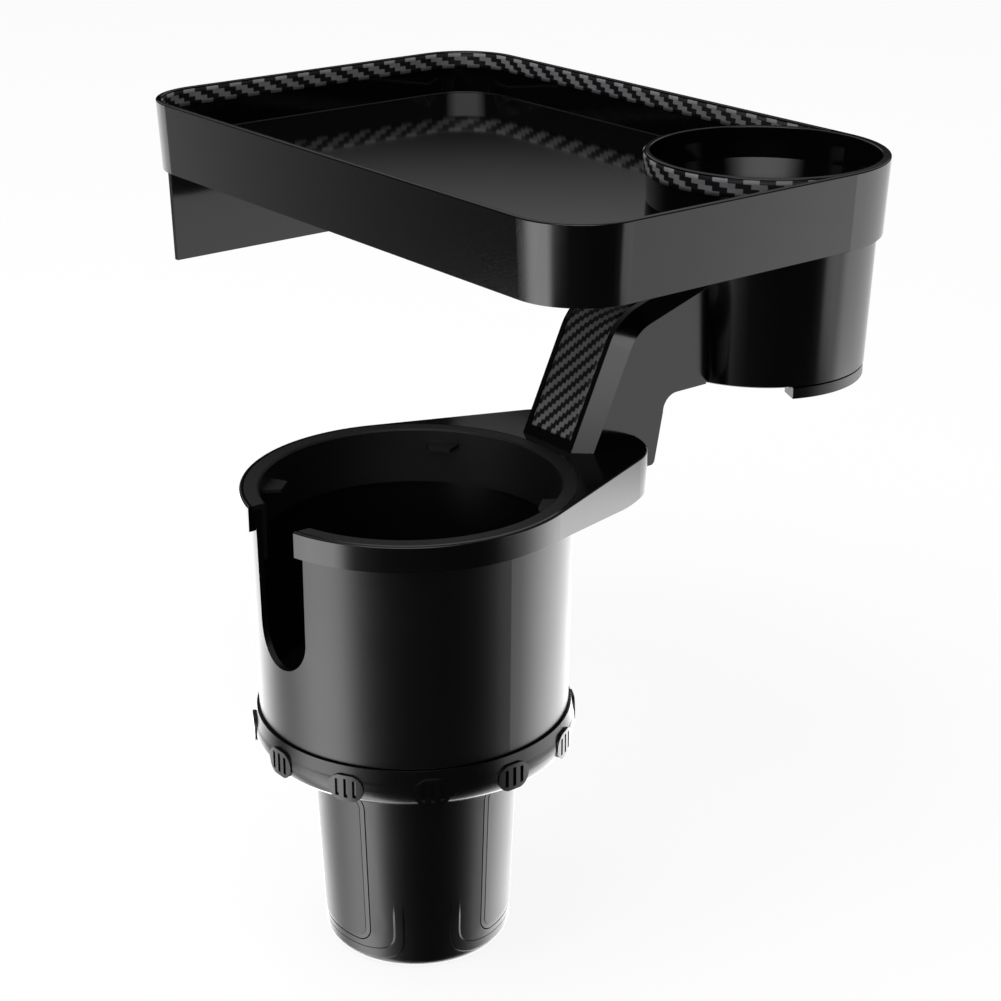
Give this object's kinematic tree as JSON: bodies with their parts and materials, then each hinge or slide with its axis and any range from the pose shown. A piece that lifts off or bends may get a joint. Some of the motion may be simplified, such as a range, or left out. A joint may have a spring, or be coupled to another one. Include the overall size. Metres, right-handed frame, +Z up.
{
  "type": "cup holder expander",
  "caption": "Car cup holder expander: a plug with spreading feet, a wide main cup with a handle slot, and an arm with a swivelling tray and a second cup.",
  "frame": {"origin": "centre of the underside of the plug, on the main cup's axis", "axes": "+Z up along the main cup's axis, +Y from the main cup towards the second cup, +X across the arm, away from the tray's long side"},
  "size_m": [0.278, 0.2514, 0.2499],
  "materials": {
    "black_plastic": "satin moulded ABS",
    "polished_plastic": "polished moulded ABS",
    "black_rubber": "matte moulded rubber",
    "twill_film": "lacquered film printed as a woven twill",
    "screw_steel": "zinc plated"
  },
  "bodies": {
    "holder": {"base_core": "black_plastic", "base_screws": "screw_steel", "cup_body": "black_plastic", "collar": "polished_plastic", "cup_liner": "black_rubber", "arm_body": "polished_plastic", "arm_cover": "polished_plastic", "arm_insert": "twill_film", "arm_screws": "screw_steel"},
    "ring": {"adjuster_ring": "black_plastic"},
    "foot_a": {"foot_a": "black_plastic", "foot_pad_a": "black_rubber"},
    "foot_b": {"foot_b": "black_plastic", "foot_pad_b": "black_rubber"},
    "foot_c": {"foot_c": "black_plastic", "foot_pad_c": "black_rubber"},
    "tray_top": {"tray": "polished_plastic", "tray_trim": "twill_film", "cup_trim": "twill_film", "swivel_cap": "black_plastic", "cap_screws": "screw_steel"}
  },
  "joints": [
    {"name": "ring_turn", "type": "hinge", "parent": "holder", "child": "ring", "pos_m": [0, 0, 0.07], "axis": [0, 0, 1], "range_deg": [0, 70]},
    {"name": "foot_a_slide", "type": "slide", "parent": "holder", "child": "foot_a", "axis": [0, -1, 0], "range_m": [0, 0.007]},
    {"name": "foot_b_slide", "type": "slide", "parent": "holder", "child": "foot_b", "axis": [0.866, 0.5, 0], "range_m": [0, 0.007]},
    {"name": "foot_c_slide", "type": "slide", "parent": "holder", "child": "foot_c", "axis": [-0.866, 0.5, 0], "range_m": [0, 0.007]},
    {"name": "tray_turn", "type": "hinge", "parent": "holder", "child": "tray_top", "pos_m": [0, 0.154, 0.2], "axis": [0, 0, 1], "range_deg": [-180, 180]}
  ],
  "couplings": [
    {"joint": "foot_a_slide", "follows": "ring_turn", "m_per_rad": 0.0057296},
    {"joint": "foot_b_slide", "follows": "ring_turn", "m_per_rad": 0.0057296},
    {"joint": "foot_c_slide", "follows": "ring_turn", "m_per_rad": 0.0057296}
  ]
}
